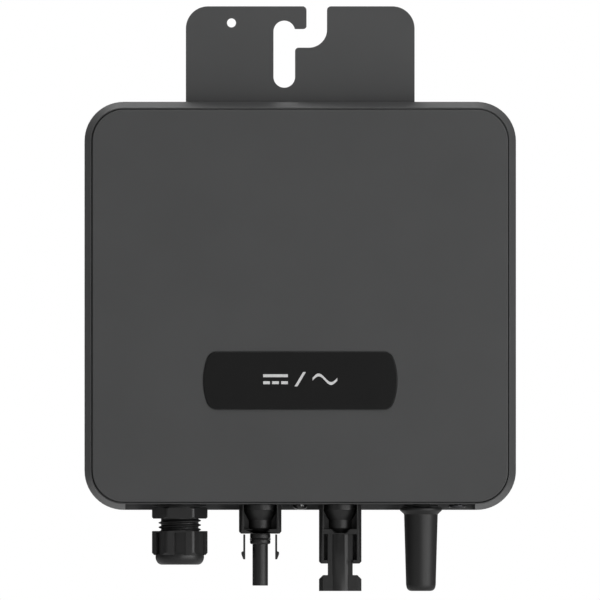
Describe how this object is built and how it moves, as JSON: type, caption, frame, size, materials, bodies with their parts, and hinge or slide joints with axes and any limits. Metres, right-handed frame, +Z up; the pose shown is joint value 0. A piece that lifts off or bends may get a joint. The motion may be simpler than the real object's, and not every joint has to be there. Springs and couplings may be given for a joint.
{
  "type": "micro inverter",
  "caption": "Flat die-cast micro inverter with slotted hanging bracket, cable gland, two plug-in DC connectors and a stub antenna along its lower edge.",
  "frame": {"origin": "on the rear face of the mounting bracket, on the body's centre line, 197 mm above the shell's lower edge, where the bracket bears on the rail", "axes": "+Z up, the front cover faces -Y, +Y points into the rail, +X to the right seen from the front"},
  "size_m": [0.192, 0.0343, 0.2602],
  "materials": {
    "powder_coated_aluminium": "fine matte powder coat on die-cast aluminium, dark grey",
    "bracket_powder_coat": "matte powder coat on sheet steel, dark grey",
    "black_rubber": "matt black seal rubber",
    "badge_film": "smooth black film badge",
    "stainless_steel": "turned stainless steel",
    "blackened_steel": "black oxide",
    "black_nylon": "satin moulded nylon, black",
    "connector_plastic": "satin moulded plastic, black",
    "tinned_copper": "tin plate",
    "radome_plastic": "satin moulded plastic, black",
    "brass": "turned brass",
    "smoked_lens": "smoked lens",
    "green_solder_resist": "solder resist on glass epoxy",
    "ferrite": "sintered ferrite",
    "enamelled_copper": "enamelled copper wire",
    "capacitor_sleeve": "shrink sleeve",
    "film_capacitor_case": "moulded case",
    "relay_case": "moulded case",
    "fuse_holder_plastic": "moulded plastic",
    "blue_solder_resist": "solder resist on glass epoxy",
    "transistor_epoxy": "moulded epoxy",
    "heat_pad_silicone": "filled silicone",
    "red_insulation": "wire insulation",
    "black_insulation": "wire insulation",
    "terminal_block_plastic": "moulded plastic",
    "coax_jacket": "thin coaxial jacket"
  },
  "bodies": {
    "housing": {"ac_terminal": "terminal_block_plastic", "antenna_lead": "coax_jacket", "antenna_nut": "brass", "antenna_radome": "radome_plastic", "antenna_rod": "brass", "antenna_seal": "black_rubber", "badge": "badge_film", "board_screw_1": "stainless_steel", "board_screw_2": "stainless_steel", "board_screw_3": "stainless_steel", "board_screw_4": "stainless_steel", "bracket_screw_1": "stainless_steel", "bracket_screw_2": "stainless_steel", "bracket_screw_3": "stainless_steel", "bracket_screw_4": "stainless_steel", "control_board": "blue_solder_resist", "cover_gasket": "black_rubber", "cover_screw_1": "stainless_steel", "cover_screw_2": "stainless_steel", "cover_screw_3": "stainless_steel", "cover_screw_4": "stainless_steel", "cover_screw_5": "stainless_steel", "cover_screw_6": "stainless_steel", "dc_lead_minus": "black_insulation", "dc_lead_plus": "red_insulation", "earth_screw": "blackened_steel", "film_capacitor": "film_capacitor_case", "front_cover": "powder_coated_aluminium", "fuse": "fuse_holder_plastic", "gland_body": "black_nylon", "gland_lock_nut": "black_nylon", "gland_washer": "black_rubber", "heat_pad": "heat_pad_silicone", "input_capacitor_1": "capacitor_sleeve", "input_capacitor_2": "capacitor_sleeve", "input_capacitor_3": "capacitor_sleeve", "input_capacitor_4": "capacitor_sleeve", "main_board": "green_solder_resist", "main_shell": "powder_coated_aluminium", "mounting_bracket": "bracket_powder_coat", "output_choke": "enamelled_copper", "pin_body": "connector_plastic", "pin_contact": "tinned_copper", "pin_nut": "brass", "power_switch_1": "transistor_epoxy", "power_switch_2": "transistor_epoxy", "relay": "relay_case", "socket_body": "connector_plastic", "socket_contact": "tinned_copper", "socket_nut": "brass", "socket_o_ring": "black_rubber", "status_lens": "smoked_lens", "transformer_core": "ferrite", "transformer_winding": "enamelled_copper"},
    "gland_seal": {"gland_seal": "black_rubber"},
    "gland_nut": {"gland_dome_nut": "black_nylon"},
    "latch_left": {"socket_latch_left": "connector_plastic"},
    "latch_right": {"socket_latch_right": "connector_plastic"}
  },
  "joints": [
    {"name": "gland_nut_travel", "type": "slide", "parent": "housing", "child": "gland_seal", "axis": [0, 0, 1], "range_m": [-0.006, 0.0025]},
    {"name": "gland_nut_turn", "type": "hinge", "parent": "gland_seal", "child": "gland_nut", "pos_m": [-0.0536, -0.0199, -0.212], "axis": [0, 0, 1], "range_deg": [-1081, 451]},
    {"name": "latch_left_flex", "type": "hinge", "parent": "housing", "child": "latch_left", "pos_m": [-0.0249, -0.0199, -0.2079], "axis": [0, -1, 0], "range_deg": [-2, 8], "stiffness_Nm_per_rad": 0.5},
    {"name": "latch_right_flex", "type": "hinge", "parent": "housing", "child": "latch_right", "pos_m": [-0.0107, -0.0199, -0.2079], "axis": [0, 1, 0], "range_deg": [-2, 8], "stiffness_Nm_per_rad": 0.5}
  ],
  "couplings": [
    {"joint": "gland_nut_turn", "follows": "gland_nut_travel", "rad_per_m": 3141.6}
  ]
}
